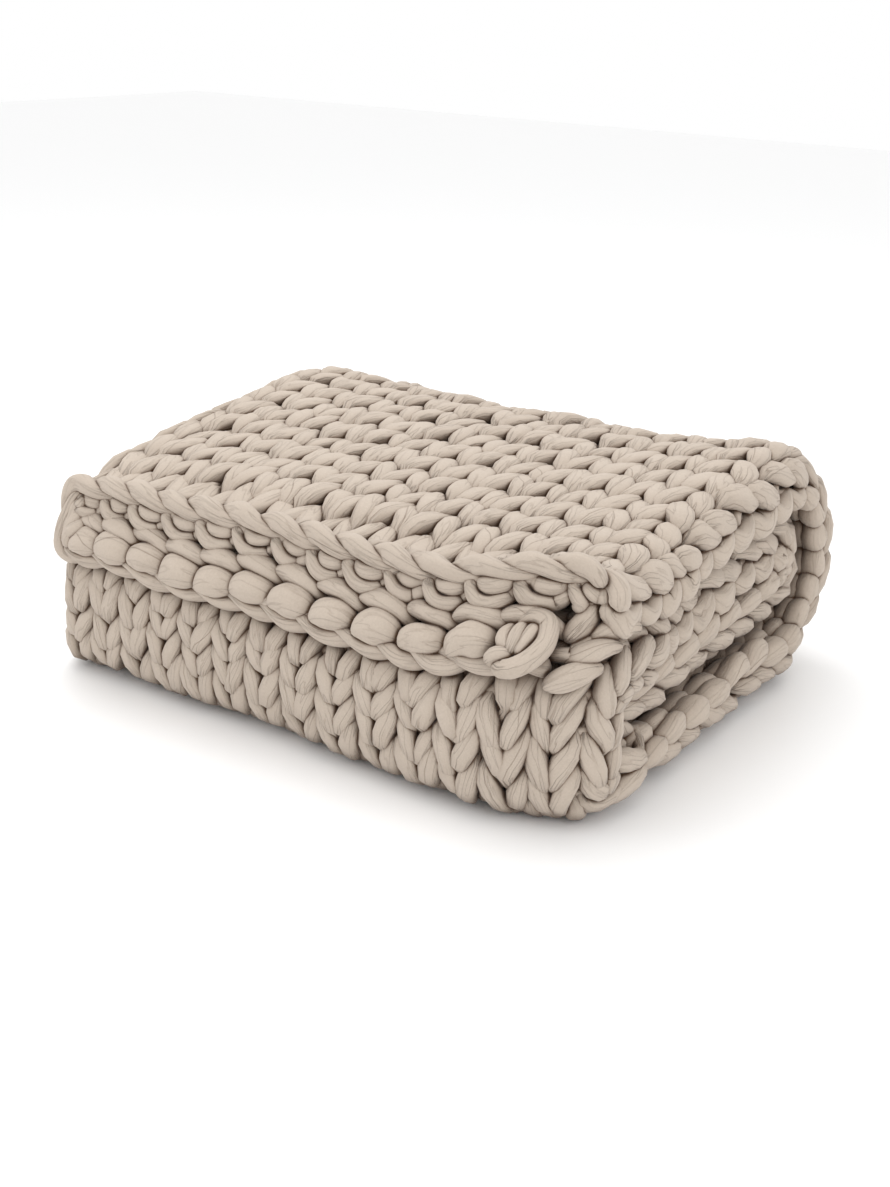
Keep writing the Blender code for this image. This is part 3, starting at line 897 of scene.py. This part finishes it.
# Beside the knot: wale, row, metres out of the cloth, and radius. The strand that stands up,
# and the leaf-shaped loops that the lower layer's first rows make at its corner.
CORNER_STRANDS = (
    ((27.90, 0.20, -0.008, 0.0075), (28.14, 0.60, -0.017, 0.0100), (28.06, 1.00, -0.022, 0.0108),
     (27.72, 1.25, -0.022, 0.0095), (27.30, 1.30, -0.012, 0.0065)),
    ((28.15, 0.95, 0.004, 0.0045), (28.38, 1.02, -0.006, 0.0084), (28.62, 1.15, -0.008, 0.0080),
     (28.80, 1.35, 0.004, 0.0045)),
    ((28.18, 0.42, 0.006, 0.0045), (28.43, 0.54, -0.004, 0.0090), (28.72, 0.82, -0.005, 0.0086),
     (28.94, 1.15, 0.006, 0.0045)),
    ((28.00, -0.08, 0.008, 0.0045), (28.26, 0.00, -0.002, 0.0096), (28.57, 0.26, -0.003, 0.0090),
     (28.84, 0.60, 0.008, 0.0045)),
    ((27.80, -0.54, 0.010, 0.0045), (28.06, -0.46, 0.002, 0.0100), (28.40, -0.24, 0.001, 0.0094),
     (28.68, 0.06, 0.010, 0.0045)),
)


def loose_strand(line, pattern_start):
    """A short length of yarn that is pinched at both its ends."""
    pinch = np.abs(np.linspace(-1.0, 1.0, len(line))) ** 3
    return tube(line[:, :3], line[:, 3], line[:, 3], pinch, LIP_SIDES, pattern_start)


knot = []
lip_row = (INNER_PLACES[1] - INNER_PLACES[0]) / (INNER_ROWS[1] - INNER_ROWS[0])
for at, strand in enumerate(KNOT_STRANDS):
    line = through(np.array(strand), KNOT_SAMPLES)
    line[:, 0] = KNOT_WALE + line[:, 0] / WALE
    line[:, 1] = KNOT_ROW + line[:, 1] / lip_row
    knot.append(loose_strand(line, KNOT_PATTERN[0] + KNOT_PATTERN[1] * at))
for at, strand in enumerate(CORNER_STRANDS):
    line = through(np.array(strand), CORNER_SAMPLES)
    knot.append(loose_strand(line, CORNER_PATTERN[0] + CORNER_PATTERN[1] * at))
yarn_mesh("corner_knot", knot)


# --- Floor and light ------------------------------------------------------------
# A plain pale floor in even studio light from all round. Three soft boxes add to it: the
# strongest hangs overhead, and a weaker one stands at each side of the front.
FLOOR_HALF_SIZE = 6.0
FLOOR_PAINT = (0.96, 0.96, 0.96, 1.0)
STUDIO_WHITE = (1.0, 1.0, 1.0, 1.0)
STUDIO_BRIGHTNESS = 1.0

corners = [(x * FLOOR_HALF_SIZE, y * FLOOR_HALF_SIZE, 0.0) for x, y in ((-1, -1), (1, -1), (1, 1), (-1, 1))]
floor_mesh = bpy.data.meshes.new("floor")
floor_mesh.from_pydata(corners, [], [(0, 1, 2, 3)])
floor = bpy.data.objects.new("floor", floor_mesh)
bpy.context.scene.collection.objects.link(floor)
floor_material = bpy.data.materials.new("floor")
floor_material.use_nodes = True
floor_shader = floor_material.node_tree.nodes["Principled BSDF"]
floor_shader.inputs["Base Color"].default_value = FLOOR_PAINT
floor_mesh.materials.append(floor_material)

world = bpy.data.worlds.new("studio")
bpy.context.scene.world = world
world.use_nodes = True
world.node_tree.nodes["Background"].inputs["Color"].default_value = STUDIO_WHITE
world.node_tree.nodes["Background"].inputs["Strength"].default_value = STUDIO_BRIGHTNESS


def soft_light(name, place, size, power):
    """A square soft box that faces the blanket."""
    data = bpy.data.lights.new(name, "AREA")
    data.size = size
    data.energy = power
    light = bpy.data.objects.new(name, data)
    bpy.context.scene.collection.objects.link(light)
    light.location = place
    direction = Vector((0.0, 0.0, 0.1)) - Vector(place)
    light.rotation_euler = direction.to_track_quat("-Z", "Y").to_euler()


soft_light("overhead", (-0.5, 0.2, 2.2), 1.6, 20.0)
soft_light("front_left", (-1.6, -1.8, 1.4), 1.2, 7.5)
soft_light("front_right", (2.2, -1.0, 1.2), 1.2, 8.5)

bpy.context.scene.view_settings.view_transform = "Standard"
bpy.context.view_layer.update()
